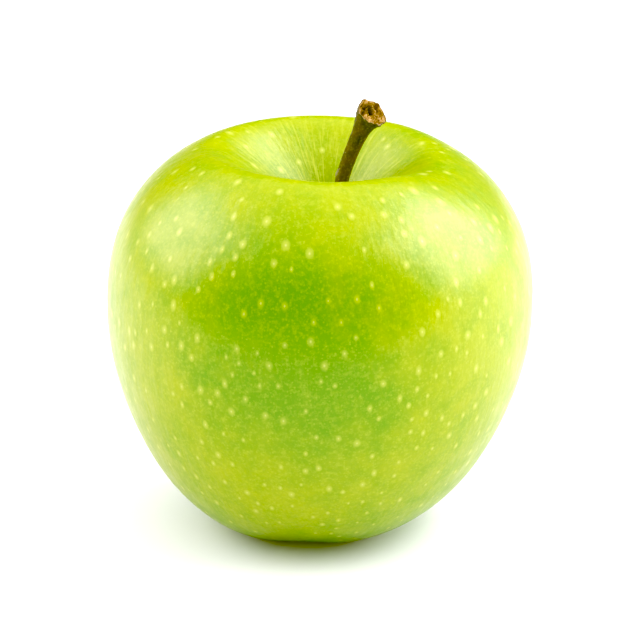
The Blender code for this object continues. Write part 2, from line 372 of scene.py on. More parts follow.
tree, given = start_tree("fruit_skin", SKIN_SIZES)
section = add_node(tree, "GeometryNodeMeshToCurve", {"Mesh": given["Mesh"]}).outputs[0]
section = add_node(tree, "GeometryNodeCurveSplineType", {"Curve": section}, spline_type="NURBS").outputs[0]
section = add_node(
    tree, "GeometryNodeSetSplineResolution", {"Geometry": section, "Resolution": given["Resolution"]}
).outputs[0]
section = add_node(tree, "GeometryNodeCurveToMesh", {"Curve": section}).outputs[0]
count = add_node(tree, "GeometryNodeAttributeDomainSize", {"Geometry": section}).outputs["Point Count"]
rings = add_node(tree, "ShaderNodeMath", {0: count, 1: 1.0}, operation="SUBTRACT").outputs[0]
ball = add_node(
    tree, "GeometryNodeMeshUVSphere", {"Segments": given["Segments"], "Rings": rings, "Radius": 1.0}
).outputs["Mesh"]
position = add_node(tree, "GeometryNodeInputPosition").outputs[0]
ball_place = add_node(tree, "ShaderNodeSeparateXYZ", {0: position}).outputs
height = add_node(tree, "ShaderNodeClamp", {"Value": ball_place["Z"], "Min": -1.0, "Max": 1.0}).outputs[0]
slope = add_node(tree, "ShaderNodeMath", {0: height}, operation="ARCCOSINE").outputs[0]
along = add_node(tree, "ShaderNodeMath", {0: slope, 1: math.pi}, operation="DIVIDE").outputs[0]
turn = add_node(
    tree, "ShaderNodeMath", {0: ball_place["Y"], 1: ball_place["X"]}, operation="ARCTAN2"
).outputs[0]
row = add_node(tree, "ShaderNodeMath", {0: along, 1: rings}, operation="MULTIPLY").outputs[0]
row = add_node(tree, "ShaderNodeMath", {0: row}, operation="ROUND").outputs[0]
half = add_node(
    tree,
    "GeometryNodeSampleIndex",
    {"Geometry": section, "Value": position, "Index": row},
    data_type="FLOAT_VECTOR",
    clamp=True,
).outputs[0]
half = add_node(tree, "ShaderNodeSeparateXYZ", {0: half}).outputs
radius = add_node(
    tree, "ShaderNodeMath", {0: half["X"], 1: given["Half width"]}, operation="MULTIPLY"
).outputs[0]
height = add_node(
    tree, "ShaderNodeMath", {0: half["Z"], 1: given["Height"]}, operation="MULTIPLY"
).outputs[0]

# The eye's tube: a narrow cone goes up from the floor of the eye.
under = add_node(tree, "ShaderNodeMath", {0: along, 1: 0.5}, operation="GREATER_THAN").outputs[0]
tube = add_node(
    tree,
    "ShaderNodeMapRange",
    {
        "Value": radius,
        "From Min": given["Eye tube end radius"],
        "From Max": given["Eye tube radius"],
        "To Min": given["Eye tube length"],
        "To Max": 0.0,
    },
).outputs["Result"]
tube = add_node(tree, "ShaderNodeMath", {0: tube, 1: under}, operation="MULTIPLY").outputs[0]
height = add_node(tree, "ShaderNodeMath", {0: height, 1: tube}, operation="ADD").outputs[0]

# Five lobes swell the flank a little and the feet more, and the feet drop at each lobe.
around = add_node(
    tree, "ShaderNodeMath", {0: turn, 1: given["Lobe turn"]}, operation="SUBTRACT"
).outputs[0]
around = add_node(
    tree, "ShaderNodeMath", {0: around, 1: given["Lobes"]}, operation="MULTIPLY"
).outputs[0]
wave = add_node(tree, "ShaderNodeMath", {0: around}, operation="COSINE").outputs[0]
foot = add_bell(tree, along, FOOT_WINDOW)
flank_swell = add_node(
    tree,
    "ShaderNodeMath",
    {0: add_bell(tree, along, FLANK_WINDOW), 1: given["Flank lobe"]},
    operation="MULTIPLY",
).outputs[0]
swell = add_node(
    tree,
    "ShaderNodeMath",
    {0: foot, 1: given["Foot lobe"], 2: flank_swell},
    operation="MULTIPLY_ADD",
).outputs[0]
swell = add_node(
    tree, "ShaderNodeMath", {0: swell, 1: wave, 2: 1.0}, operation="MULTIPLY_ADD"
).outputs[0]
radius = add_node(tree, "ShaderNodeMath", {0: radius, 1: swell}, operation="MULTIPLY").outputs[0]
drop = add_node(
    tree, "ShaderNodeMath", {0: wave, 1: 0.5, 2: 0.5}, operation="MULTIPLY_ADD"
).outputs[0]
drop = add_node(tree, "ShaderNodeMath", {0: drop, 1: foot}, operation="MULTIPLY").outputs[0]
drop = add_node(
    tree, "ShaderNodeMath", {0: drop, 1: given["Foot drop"]}, operation="MULTIPLY"
).outputs[0]

# Grooves of unlike depth cross the rim of the stem hollow.
dip = 0.0
for degrees, half_width, depth in RIM_GROOVES:
    away = add_node(
        tree, "ShaderNodeMath", {0: turn, 1: math.radians(degrees)}, operation="SUBTRACT"
    ).outputs[0]
    away = add_node(
        tree, "ShaderNodeMath", {0: away, 1: math.pi, 2: -math.pi}, operation="WRAP"
    ).outputs[0]
    bell = add_bell(tree, away, (0.0, math.radians(half_width)))
    dip = add_node(
        tree, "ShaderNodeMath", {0: bell, 1: depth, 2: dip}, operation="MULTIPLY_ADD"
    ).outputs[0]
drop = add_node(
    tree,
    "ShaderNodeMath",
    {0: dip, 1: add_bell(tree, along, RIM_WINDOW), 2: drop},
    operation="MULTIPLY_ADD",
).outputs[0]
height = add_node(tree, "ShaderNodeMath", {0: height, 1: drop}, operation="SUBTRACT").outputs[0]
lean = add_node(
    tree,
    "ShaderNodeMath",
    {0: add_bell(tree, along, HOLLOW_WINDOW), 1: given["Hollow lean"]},
    operation="MULTIPLY",
).outputs[0]
lean = add_node(
    tree,
    "ShaderNodeMath",
    {0: add_bell(tree, along, BASE_WINDOW), 1: given["Base lean"], 2: lean},
    operation="MULTIPLY_ADD",
).outputs[0]
cosine = add_node(tree, "ShaderNodeMath", {0: turn}, operation="COSINE").outputs[0]
sine = add_node(tree, "ShaderNodeMath", {0: turn}, operation="SINE").outputs[0]
x = add_node(
    tree, "ShaderNodeMath", {0: radius, 1: cosine, 2: lean}, operation="MULTIPLY_ADD"
).outputs[0]
y = add_node(tree, "ShaderNodeMath", {0: radius, 1: sine}, operation="MULTIPLY").outputs[0]
grown = add_node(tree, "ShaderNodeCombineXYZ", {"X": x, "Y": y, "Z": height}).outputs[0]
lines = add_node(tree, "ShaderNodeCombineXYZ", {"X": cosine, "Y": sine, "Z": along}).outputs[0]
skin = add_node(
    tree,
    "GeometryNodeStoreNamedAttribute",
    {"Geometry": ball, "Name": "meridian", "Value": lines},
    data_type="FLOAT_VECTOR",
    domain="POINT",
).outputs[0]
skin = add_node(tree, "GeometryNodeSetPosition", {"Geometry": skin, "Position": grown}).outputs[0]

# No fruit is a perfect sweep: swells 20 mm and 3 mm across move the skin in and out.
normal = add_node(tree, "GeometryNodeInputNormal").outputs[0]
for scale, size in ((50.0, given["Broad relief"]), (330.0, given["Fine relief"])):
    swells = add_node(tree, "ShaderNodeTexNoise", {"Scale": scale, "Detail": 1.0}).outputs["Fac"]
    swells = add_node(tree, "ShaderNodeMath", {0: swells, 1: 0.5}, operation="SUBTRACT").outputs[0]
    swells = add_node(tree, "ShaderNodeMath", {0: swells, 1: size}, operation="MULTIPLY").outputs[0]
    push = add_node(
        tree, "ShaderNodeVectorMath", {0: normal, "Scale": swells}, operation="SCALE"
    ).outputs[0]
    skin = add_node(tree, "GeometryNodeSetPosition", {"Geometry": skin, "Offset": push}).outputs[0]
end_tree(tree, skin, peel)
fruit_skin = grow("fruit_skin", cage, tree, SKIN_SIZES)

# The skin takes the CAD fruit's place, and is pressed flat where the feet bear on the table.
low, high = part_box("fruit")
points = [vert.co for vert in fruit_skin.data.vertices]
middle = Vector(
    [(min(p[axis] for p in points) + max(p[axis] for p in points)) / 2.0 for axis in (0, 1)] + [0.0]
)
move = (low + high) / 2.0 - middle
move.z = high.z - max(p.z for p in points)
for vert in fruit_skin.data.vertices:
    vert.co += move
    vert.co.z = max(vert.co.z, low.z)
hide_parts("fruit")
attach(fruit_skin, "root")


# ---------------------------------------------------------------------------------------------
# Lenticels. These are the pores of the skin: corky specks, each in a pale ring of thinner peel.
# They are large and far apart by the stem, and small and close together by the eye.

LENTICEL_SIZES = {
    "Sides": 10,
    "Least spacing": 2.4 * MM,
    "Most per square metre": 120000.0,
    "Radius at stem": 1.15 * MM,
    "Radius at eye": 0.60 * MM,
    "Rise": 0.022 * MM,
    "Lift": 0.006 * MM,
    "Clear of table": 0.06 * MM,
    "Seed": 11,
}
tree, given = start_tree("lenticels", LENTICEL_SIZES)
lines = add_node(
    tree, "GeometryNodeInputNamedAttribute", {"Name": "meridian"}, data_type="FLOAT_VECTOR"
).outputs["Attribute"]
along = add_node(tree, "ShaderNodeSeparateXYZ", {0: lines}).outputs["Z"]
crowding = add_node(
    tree,
    "ShaderNodeMapRange",
    {"Value": along, "From Min": 0.30, "From Max": 0.70, "To Min": 0.33, "To Max": 1.0},
).outputs["Result"]
scatter = add_node(
    tree,
    "GeometryNodeDistributePointsOnFaces",
    {
        "Mesh": given["Mesh"],
        "Distance Min": given["Least spacing"],
        "Density Max": given["Most per square metre"],
        "Density Factor": crowding,
        "Seed": given["Seed"],
    },
    distribute_method="POISSON",
).outputs
disc = add_node(
    tree, "GeometryNodeMeshCircle", {"Vertices": given["Sides"], "Radius": 1.0}, fill_type="TRIANGLE_FAN"
).outputs[0]
disc = add_node(tree, "GeometryNodeSubdivideMesh", {"Mesh": disc, "Level": 1}).outputs[0]
position = add_node(tree, "GeometryNodeInputPosition").outputs[0]
off_centre = add_node(tree, "ShaderNodeVectorMath", {0: position}, operation="LENGTH").outputs["Value"]
height = add_node(
    tree, "ShaderNodeMath", {0: 1.0, 1: off_centre}, operation="SUBTRACT", use_clamp=True
).outputs[0]
disc = add_node(
    tree,
    "GeometryNodeStoreNamedAttribute",
    {"Geometry": disc, "Name": "lenticel", "Value": height},
    data_type="FLOAT",
    domain="POINT",
).outputs[0]
size = add_node(
    tree,
    "ShaderNodeMapRange",
    {
        "Value": along,
        "From Min": 0.3,
        "From Max": 0.72,
        "To Min": given["Radius at stem"],
        "To Max": given["Radius at eye"],
    },
).outputs["Result"]
chance = add_node(
    tree, "FunctionNodeRandomValue", {"Min": 0.6, "Max": 1.25, "Seed": given["Seed"]}, data_type="FLOAT"
).outputs["Value"]
size = add_node(tree, "ShaderNodeMath", {0: size, 1: chance}, operation="MULTIPLY").outputs[0]
upright = add_node(
    tree,
    "FunctionNodeAlignRotationToVector",
    {"Rotation": scatter["Rotation"], "Vector": (0.0, 0.0, 1.0)},
    axis="Y",
    pivot_axis="Z",
).outputs[0]
wide = add_node(
    tree, "FunctionNodeRandomValue", {"Min": 0.72, "Max": 1.0, "Seed": 3}, data_type="FLOAT"
).outputs["Value"]
wide = add_node(tree, "ShaderNodeMath", {0: size, 1: wide}, operation="MULTIPLY").outputs[0]
long = add_node(tree, "ShaderNodeMath", {0: size, 1: 1.2}, operation="MULTIPLY").outputs[0]
size = add_node(tree, "ShaderNodeCombineXYZ", {"X": wide, "Y": long, "Z": size}).outputs[0]
specks = add_node(
    tree,
    "GeometryNodeInstanceOnPoints",
    {"Points": scatter["Points"], "Instance": disc, "Rotation": upright, "Scale": size},
).outputs[0]
specks = add_node(tree, "GeometryNodeRealizeInstances", {"Geometry": specks}).outputs[0]

# Each disc is laid on the skin and domed, and takes the skin's own lines so that its rim can't be seen.
nearest = add_node(
    tree, "GeometryNodeProximity", {"Geometry": given["Mesh"]}, target_element="FACES"
).outputs["Position"]
facing = add_node(tree, "GeometryNodeInputNormal").outputs[0]
facing = add_node(
    tree,
    "GeometryNodeSampleNearestSurface",
    {"Mesh": given["Mesh"], "Value": facing},
    data_type="FLOAT_VECTOR",
).outputs["Value"]
skin_lines = add_node(
    tree,
    "GeometryNodeSampleNearestSurface",
    {"Mesh": given["Mesh"], "Value": lines},
    data_type="FLOAT_VECTOR",
).outputs["Value"]
height = add_node(
    tree, "GeometryNodeInputNamedAttribute", {"Name": "lenticel"}, data_type="FLOAT"
).outputs["Attribute"]
rise = add_node(
    tree,
    "ShaderNodeMath",
    {0: height, 1: given["Rise"], 2: given["Lift"]},
    operation="MULTIPLY_ADD",
).outputs[0]
push = add_node(tree, "ShaderNodeVectorMath", {0: facing, "Scale": rise}, operation="SCALE").outputs[0]
specks = add_node(
    tree,
    "GeometryNodeStoreNamedAttribute",
    {"Geometry": specks, "Name": "meridian", "Value": skin_lines},
    data_type="FLOAT_VECTOR",
    domain="POINT",
).outputs[0]
specks = add_node(
    tree, "GeometryNodeSetPosition", {"Geometry": specks, "Position": nearest, "Offset": push}
).outputs[0]
height = add_node(tree, "ShaderNodeSeparateXYZ", {0: position}).outputs["Z"]
bears = add_node(
    tree, "ShaderNodeMath", {0: height, 1: given["Clear of table"]}, operation="LESS_THAN"
).outputs[0]
specks = add_node(
    tree, "GeometryNodeDeleteGeometry", {"Geometry": specks, "Selection": bears}, domain="FACE"
).outputs[0]
end_tree(tree, specks, peel)
lenticels = grow("lenticels", fruit_skin.data.copy(), tree, LENTICEL_SIZES)
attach(lenticels, "root")


# ---------------------------------------------------------------------------------------------
# Stem. It is wood under thin dark bark, grown out of the hollow, bent to one side and swollen at
# the top, where the fruit was twisted off its twig and the fibres tore.

STEM_RADIUS = 1.25 * MM
STEM_SIDES = 48
STEM_ROWS = 190
STEM_TORN_FROM = 0.86
STEM_FLARE_FROM = 0.86  # share of the way up where the stem turns ragged
STEM_FOOT_TOP = 52.0 * MM
STEM_LINE_MM = (  # (x, y, z, thickness share), from inside the socket to the torn end
    (2.4, 0.0, 50.5, 1.05),
    (2.4, 0.0, 54.5, 1.02),
    (2.7, 0.0, 60.5, 0.98),
    (3.5, -0.1, 66.0, 0.96),
    (4.9, -0.3, 71.0, 1.00),
    (6.6, -0.6, 75.0, 1.12),
    (7.9, -0.9, 78.1, 1.45),
    (8.8, -1.3, 79.7, 2.15),
    (9.3, -1.8, 80.5, 2.30),
)
STEM_SCAR = (0.35, 0.45, 0.43, 0.020)  # (turn, half width, share of the way up, half height)
BARK_DARK = "#1b1711"
BARK_OLIVE = "#4a4026"
BARK_WARM = "#5e4022"
BARK_SPECK = "#8f866c"
TORN_PALE = "#c29a68"
TORN_BROWN = "#6b4526"
TORN_PIT_SHADE = "#1e1005"


def spline_value(rows, share):
    """A point at a share of the way along a cubic B-spline that reaches both of its end rows."""
    first = [2.0 * a - b for a, b in zip(rows[0], rows[1])]
    last = [2.0 * a - b for a, b in zip(rows[-1], rows[-2])]
    cage_rows = [first, *rows, last]
    spans = len(rows) - 1
    start = min(int(share * spans), spans - 1)
    t = share * spans - start
    weights = (
        (1.0 - t) ** 3 / 6.0,
        (3.0 * t**3 - 6.0 * t**2 + 4.0) / 6.0,
        (-3.0 * t**3 + 3.0 * t**2 + 3.0 * t + 1.0) / 6.0,
        t**3 / 6.0,
    )
    near = cage_rows[start : start + len(weights)]
    return [sum(w * row[i] for w, row in zip(weights, near)) for i in range(len(rows[0]))]


def stem_scar(around, climb):
    """1 on the small pale bump where a leaf was held, falling smoothly to 0 round it."""
    turn, half_width, share, half_height = STEM_SCAR
    return math.exp(-(((around - turn) / half_width) ** 2) - ((climb - share) / half_height) ** 2)


def stem_surface(around, share):
    """The stem's point at a turn and a share of the way from its foot over the torn rim to the middle."""
    climb = min(share / STEM_TORN_FROM, 1.0)
    inward = max(share - STEM_TORN_FROM, 0.0) / (1.0 - STEM_TORN_FROM)
    x, y, z, thickness = spline_value(STEM_LINE_MM, climb)
    back = spline_value(STEM_LINE_MM, max(climb - 0.02, 0.0))
    ahead = spline_value(STEM_LINE_MM, min(climb + 0.02, 1.0))
    axis = (Vector(ahead[:3]) - Vector(back[:3])).normalized()
    side = axis.cross(Vector((0.0, 1.0, 0.0))).normalized()
    front = axis.cross(side)
    out = side * math.cos(around) + front * math.sin(around)
    circle = Vector((math.cos(around), math.sin(around), 0.0))
    ridges = noise.noise(circle * 2.6 + Vector((0.0, 0.0, climb * 5.0)))
    warts = noise.noise(circle * 4.5 + Vector((0.0, 0.0, climb * 42.0)))
    ragged = noise.noise(circle * 2.2 + Vector((7.0, 3.0, 0.0)))
    top = max(climb - STEM_FLARE_FROM, 0.0) / (1.0 - STEM_FLARE_FROM)
    scar = stem_scar(around, climb)
    swell = 1.0 + 0.07 * ridges + 0.06 * warts + 0.16 * ragged * top + 0.22 * scar
    distance = thickness * swell * STEM_RADIUS / MM * (1.0 - inward)
    rim_curl = 0.35 * math.sin(min(inward * 5.0, 1.0) * math.pi)
    chips = noise.cell(Vector((distance * math.cos(around), distance * math.sin(around), 3.0)) * 1.5)
    fibres = noise.noise(out * distance * 2.3 + Vector((1.0, 5.0, 2.0)))
    torn = min(inward * 6.0, 1.0) * (0.55 * chips - 0.45 + 0.75 * fibres) - 0.35 * inward
    edge = 0.45 * noise.noise(circle * 3.1 + Vector((2.0, 9.0, 4.0))) * top
    spot = Vector((x, y, z)) + out * distance + axis * (rim_curl + torn + edge)
    return spot * MM, climb, inward


bark, tree, shader = start_material("stem_bark")
grain_place = add_node(tree, "ShaderNodeAttribute", attribute_name="grain").outputs["Vector"]
torn = add_node(tree, "ShaderNodeAttribute", attribute_name="torn").outputs["Fac"]
place = add_node(tree, "ShaderNodeTexCoord").outputs["Object"]

# Bark: furrows about 0.4 mm apart run up the stem, olive where it is lit and warm brown on one side.
furrows = add_node(
    tree, "ShaderNodeTexNoise", {"Vector": grain_place, "Scale": 3.2, "Detail": 5.0, "Roughness": 0.65}
).outputs["Fac"]
tint = add_node(tree, "ShaderNodeTexNoise", {"Vector": place, "Scale": 260.0, "Detail": 3.0}).outputs["Fac"]
bark_colour = add_node(
    tree,
    "ShaderNodeMapRange",
    {"Value": furrows, "From Min": 0.36, "From Max": 0.64},
).outputs["Result"]
bark_colour = add_node(
    tree,
    "ShaderNodeMix",
    {"Factor": bark_colour, 6: linear(BARK_DARK), 7: linear(BARK_OLIVE)},
    data_type="RGBA",
).outputs[2]
warm = add_node(
    tree, "ShaderNodeMapRange", {"Value": tint, "From Min": 0.48, "From Max": 0.66, "To Max": 0.75}
).outputs["Result"]
bark_colour = add_node(
    tree, "ShaderNodeMix", {"Factor": warm, 6: bark_colour, 7: linear(BARK_WARM)}, data_type="RGBA"
).outputs[2]

# Pale corky specks 0.25 mm wide dot the bark.
specks = add_node(tree, "ShaderNodeTexVoronoi", {"Vector": place, "Scale": 1150.0}).outputs["Distance"]
specks = add_node(
    tree,
    "ShaderNodeMapRange",
    {"Value": specks, "From Min": 0.10, "From Max": 0.24, "To Min": 0.5, "To Max": 0.0},
).outputs["Result"]
bark_colour = add_node(
    tree, "ShaderNodeMix", {"Factor": specks, 6: bark_colour, 7: linear(BARK_SPECK)}, data_type="RGBA"
).outputs[2]

grit = add_node(
    tree, "ShaderNodeTexNoise", {"Vector": place, "Scale": 2400.0, "Detail": 3.0, "Roughness": 0.7}
).outputs["Fac"]
grit = add_node(
    tree, "ShaderNodeMapRange", {"Value": grit, "From Min": 0.5, "From Max": 0.75, "To Max": 0.5}
).outputs["Result"]
scar = add_node(tree, "ShaderNodeAttribute", attribute_name="scar").outputs["Fac"]
grit = add_node(tree, "ShaderNodeMath", {0: grit, 1: scar}, operation="ADD", use_clamp=True).outputs[0]
bark_colour = add_node(
    tree, "ShaderNodeMix", {"Factor": grit, 6: bark_colour, 7: linear(BARK_SPECK)}, data_type="RGBA"
).outputs[2]

# Torn wood: pale orange fibre with brown between. The pits are painted nearly black as shade, darker the deeper
# they lie.
fibre = add_node(
    tree, "ShaderNodeTexNoise", {"Vector": place, "Scale": 1500.0, "Detail": 4.0, "Roughness": 0.7}
).outputs["Fac"]
fibre = add_node(
    tree, "ShaderNodeMapRange", {"Value": fibre, "From Min": 0.38, "From Max": 0.60}
).outputs["Result"]
wood_colour = add_node(
    tree, "ShaderNodeMix", {"Factor": fibre, 6: linear(TORN_BROWN), 7: linear(TORN_PALE)}, data_type="RGBA"
).outputs[2]
pit_shade_share = add_node(tree, "ShaderNodeAttribute", attribute_name="painted_pit_shade").outputs["Fac"]
wood_colour = add_node(
    tree, "ShaderNodeMix", {"Factor": pit_shade_share, 6: wood_colour, 7: linear(TORN_PIT_SHADE)}, data_type="RGBA"
).outputs[2]
colour = add_node(
    tree, "ShaderNodeMix", {"Factor": torn, 6: bark_colour, 7: wood_colour}, data_type="RGBA"
).outputs[2]
tree.links.new(colour, shader.inputs["Base Color"])
rough = add_node(
    tree, "ShaderNodeMapRange", {"Value": torn, "To Min": 0.55, "To Max": 0.85}
).outputs["Result"]
tree.links.new(rough, shader.inputs["Roughness"])
bump = add_node(tree, "ShaderNodeBump", {"Height": furrows, "Strength": 1.0, "Distance": 0.2 * MM})
tree.links.new(bump.outputs["Normal"], shader.inputs["Normal"])

low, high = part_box("stem")
bm = bmesh.new()
grain_layer = bm.verts.layers.float_vector.new("grain")
torn_layer = bm.verts.layers.float.new("torn")
pit_shade_layer = bm.verts.layers.float.new("painted_pit_shade")
scar_layer = bm.verts.layers.float.new("scar")
bmesh.ops.create_grid(bm, x_segments=STEM_SIDES, y_segments=STEM_ROWS, size=1.0)
for vert in bm.verts:
    around = (vert.co.x + 1.0) * math.pi
    share = (vert.co.y + 1.0) / 2.0
    spot, climb, inward = stem_surface(around, share)
    vert[grain_layer] = (math.cos(around), math.sin(around), climb * 2.2)
    vert[scar_layer] = stem_scar(around, climb)
    vert[torn_layer] = min(max(inward - 0.03, 0.0) * 12.0, 1.0)
    flat_top = stem_surface(around, STEM_TORN_FROM)[0]
    # Painted shade: a point on the torn end is painted darker the deeper it lies below the rim.
    vert[pit_shade_layer] = min(max((flat_top.z - spot.z) / MM * 0.9 - 0.35, 0.0), 1.0) if inward > 0.1 else 0.0
    vert.co = spot
bmesh.ops.remove_doubles(bm, verts=bm.verts, dist=0.001 * MM)
foot_edges = [edge for edge in bm.edges if edge.is_boundary]
bmesh.ops.holes_fill(bm, edges=foot_edges)
bmesh.ops.recalc_face_normals(bm, faces=bm.faces)
stem_mesh = bpy.data.meshes.new("stem_wood")
bm.to_mesh(stem_mesh)
bm.free()
stem_mesh.shade_smooth()
stem_mesh.materials.append(bark)
points = [vert.co for vert in stem_mesh.vertices]
foot_x = [p.x for p in points if p.z < STEM_FOOT_TOP]
foot_y = [p.y for p in points if p.z < STEM_FOOT_TOP]
cad_foot = [v.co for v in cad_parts["stem"].data.vertices if v.co.z < low.z + 1.5 * MM]
move = Vector(
    (
        (min(p.x for p in cad_foot) + max(p.x for p in cad_foot) - min(foot_x) - max(foot_x)) / 2.0,
        (min(p.y for p in cad_foot) + max(p.y for p in cad_foot) - min(foot_y) - max(foot_y)) / 2.0,
        low.z - min(p.z for p in points),
    )
)
stem_mesh.transform(Matrix.Translation(move))
stem_wood = bpy.data.objects.new("stem_wood", stem_mesh)
bpy.context.scene.collection.objects.link(stem_wood)
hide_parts("stem")
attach(stem_wood, "root")


# ---------------------------------------------------------------------------------------------
# Sepals. Five small leaves held the flower; they dried on the fruit, brown, crinkled and felted,
# and stand round the eye. Each grows out of the skin, and its tip curls outwards.

SEPAL_GRAIN = 0.11 * MM
SEPAL_CRINKLES = (  # (crinkles per metre, height)
    (700.0, 0.16 * MM),
    (2600.0, 0.05 * MM),
)
SEPAL_BROWN = "#5b4420"
SEPAL_OLIVE = "#77753a"
SEPAL_FELT = "#a89a72"
# Dried leaf: matt brown with some olive left in it, and a pale felt of fine hairs on the ridges.
dried, tree, shader = start_material("dried_leaf")
place = add_node(tree, "ShaderNodeTexCoord").outputs["Object"]
patch = add_node(
    tree,
    "ShaderNodeTexNoise",
    {"Vector": place, "Scale": 420.0, "Detail": 3.0},
).outputs["Fac"]
patch = add_node(
    tree,
    "ShaderNodeMapRange",
    {"Value": patch, "From Min": 0.4, "From Max": 0.6},
).outputs["Result"]
colour = add_node(
    tree,
    "ShaderNodeMix",
    {"Factor": patch, 6: linear(SEPAL_BROWN), 7: linear(SEPAL_OLIVE)},
    data_type="RGBA",
).outputs[2]
felt = add_node(
    tree, "ShaderNodeTexNoise", {"Vector": place, "Scale": 2600.0, "Detail": 4.0, "Roughness": 0.7}
).outputs["Fac"]
hairs = add_node(
    tree, "ShaderNodeMapRange", {"Value": felt, "From Min": 0.50, "From Max": 0.68, "To Max": 0.8}
).outputs["Result"]
colour = add_node(
    tree, "ShaderNodeMix", {"Factor": hairs, 6: colour, 7: linear(SEPAL_FELT)}, data_type="RGBA"
).outputs[2]
tree.links.new(colour, shader.inputs["Base Color"])
rough = add_node(
    tree,
    "ShaderNodeMapRange",
    {"Value": felt, "To Min": 0.7, "To Max": 0.95},
).outputs["Result"]
tree.links.new(rough, shader.inputs["Roughness"])
bump = add_node(tree, "ShaderNodeBump", {"Height": felt, "Strength": 0.6, "Distance": 0.06 * MM})
tree.links.new(bump.outputs["Normal"], shader.inputs["Normal"])

for number in range(1, 6):
    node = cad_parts[f"sepal_{number}"]
    bm = bmesh.new()
    bm.from_mesh(node.data)
    bmesh.ops.remove_doubles(bm, verts=bm.verts, dist=0.001 * MM)
    blank = bpy.data.meshes.new("sepal_blank")
    bm.to_mesh(blank)
    bm.free()
    seed = bpy.data.objects.new("sepal_seed", blank)
    bpy.context.scene.collection.objects.link(seed)
    remesh = seed.modifiers.new("fine_mesh", "REMESH")
    remesh.mode = "VOXEL"
    remesh.voxel_size = SEPAL_GRAIN
    graph = bpy.context.evaluated_depsgraph_get()
    mesh = bpy.data.meshes.new_from_object(seed.evaluated_get(graph))
    bpy.data.objects.remove(seed)
    normals = [vert.normal.copy() for vert in mesh.vertices]
    for vert, normal in zip(mesh.vertices, normals):
        spot = vert.co.copy()
        for per_metre, height in SEPAL_CRINKLES:
            vert.co += normal * height * noise.noise(spot * per_metre)
    mesh.shade_smooth()
    mesh.materials.clear()
    mesh.materials.append(dried)
    sepal = bpy.data.objects.new(f"dried_sepal_{number}", mesh)
    bpy.context.scene.collection.objects.link(sepal)
    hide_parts(f"sepal_{number}")
    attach(sepal, "root")


# ---------------------------------------------------------------------------------------------
# Stamens. They are what is left of the flower: thin dried threads with shrunken heads, in a tuft
# on the corky plug that closes the eye's tube.

STAMEN_SIZES = {
    "Threads": 16,
    "Ring radius": 0.95 * MM,
    "Length": 3.0 * MM,
    "Thread radius": 0.11 * MM,
    "Head radius": 0.24 * MM,
    "Spread": 340.0,
    "Curl": 0.9 * MM,
    "Plug radius": 1.2 * MM,
    "Plug length": 2.0 * MM,
    "Seed": 4,
}
GOLDEN_TURN = 2.39996  # each thread stands this many radians on from the last, as seeds do
STAMEN_DARK = "#2b1d10"
STAMEN_BROWN = "#5f4226"
# Dried thread: nearly black brown, paler where it is thin and dusty.
thread, tree, shader = start_material("dried_thread")
place = add_node(tree, "ShaderNodeTexCoord").outputs["Object"]
dust = add_node(
    tree, "ShaderNodeTexNoise", {"Vector": place, "Scale": 1500.0, "Detail": 4.0, "Roughness": 0.65}
).outputs["Fac"]
dust_share = add_node(
    tree, "ShaderNodeMapRange", {"Value": dust, "From Min": 0.4, "From Max": 0.62}
).outputs["Result"]
colour = add_node(
    tree,
    "ShaderNodeMix",
    {"Factor": dust_share, 6: linear(STAMEN_DARK), 7: linear(STAMEN_BROWN)},
    data_type="RGBA",
).outputs[2]
tree.links.new(colour, shader.inputs["Base Color"])
bump = add_node(tree, "ShaderNodeBump", {"Height": dust, "Strength": 0.7, "Distance": 0.05 * MM})
tree.links.new(bump.outputs["Normal"], shader.inputs["Normal"])
shader.inputs["Roughness"].default_value = 0.8

tree, given = start_tree("stamens", STAMEN_SIZES)
index = add_node(tree, "GeometryNodeInputIndex").outputs[0]
share = add_node(tree, "ShaderNodeMath", {0: index, 1: given["Threads"]}, operation="DIVIDE").outputs[0]
off_centre = add_node(tree, "ShaderNodeMath", {0: share}, operation="SQRT").outputs[0]
off_centre = add_node(
    tree, "ShaderNodeMath", {0: off_centre, 1: given["Ring radius"]}, operation="MULTIPLY"
).outputs[0]
golden = add_node(tree, "ShaderNodeMath", {0: index, 1: GOLDEN_TURN}, operation="MULTIPLY").outputs[0]
cosine = add_node(tree, "ShaderNodeMath", {0: golden}, operation="COSINE").outputs[0]
sine = add_node(tree, "ShaderNodeMath", {0: golden}, operation="SINE").outputs[0]
x = add_node(tree, "ShaderNodeMath", {0: off_centre, 1: cosine}, operation="MULTIPLY").outputs[0]
y = add_node(tree, "ShaderNodeMath", {0: off_centre, 1: sine}, operation="MULTIPLY").outputs[0]
spots = add_node(tree, "ShaderNodeCombineXYZ", {"X": x, "Y": y}).outputs[0]
spots = add_node(tree, "GeometryNodePoints", {"Count": given["Threads"], "Position": spots}).outputs[0]
tip = add_node(tree, "ShaderNodeMath", {0: given["Length"], 1: -1.0}, operation="MULTIPLY").outputs[0]
tip = add_node(tree, "ShaderNodeCombineXYZ", {"Z": tip}).outputs[0]
line = add_node(
    tree,
    "GeometryNodeCurvePrimitiveLine",
    {"Start": (0.0, 0.0, 0.4 * MM), "End": tip},
).outputs[0]
line = add_node(tree, "GeometryNodeResampleCurve", {"Curve": line, "Count": 8}).outputs[0]
ring = add_node(
    tree, "GeometryNodeCurvePrimitiveCircle", {"Resolution": 8, "Radius": given["Thread radius"]}
).outputs[0]
filament = add_node(
    tree, "GeometryNodeCurveToMesh", {"Curve": line, "Profile Curve": ring, "Fill Caps": True}
).outputs[0]
head = add_node(
    tree, "GeometryNodeMeshIcoSphere", {"Radius": given["Head radius"], "Subdivisions": 2}
).outputs["Mesh"]
head = add_node(
    tree, "GeometryNodeTransform", {"Geometry": head, "Translation": tip, "Scale": (1.0, 0.75, 1.5)}
).outputs[0]
stamen = add_node(tree, "GeometryNodeJoinGeometry")
tree.links.new(filament, stamen.inputs[0])
tree.links.new(head, stamen.inputs[0])
position = add_node(tree, "GeometryNodeInputPosition").outputs[0]
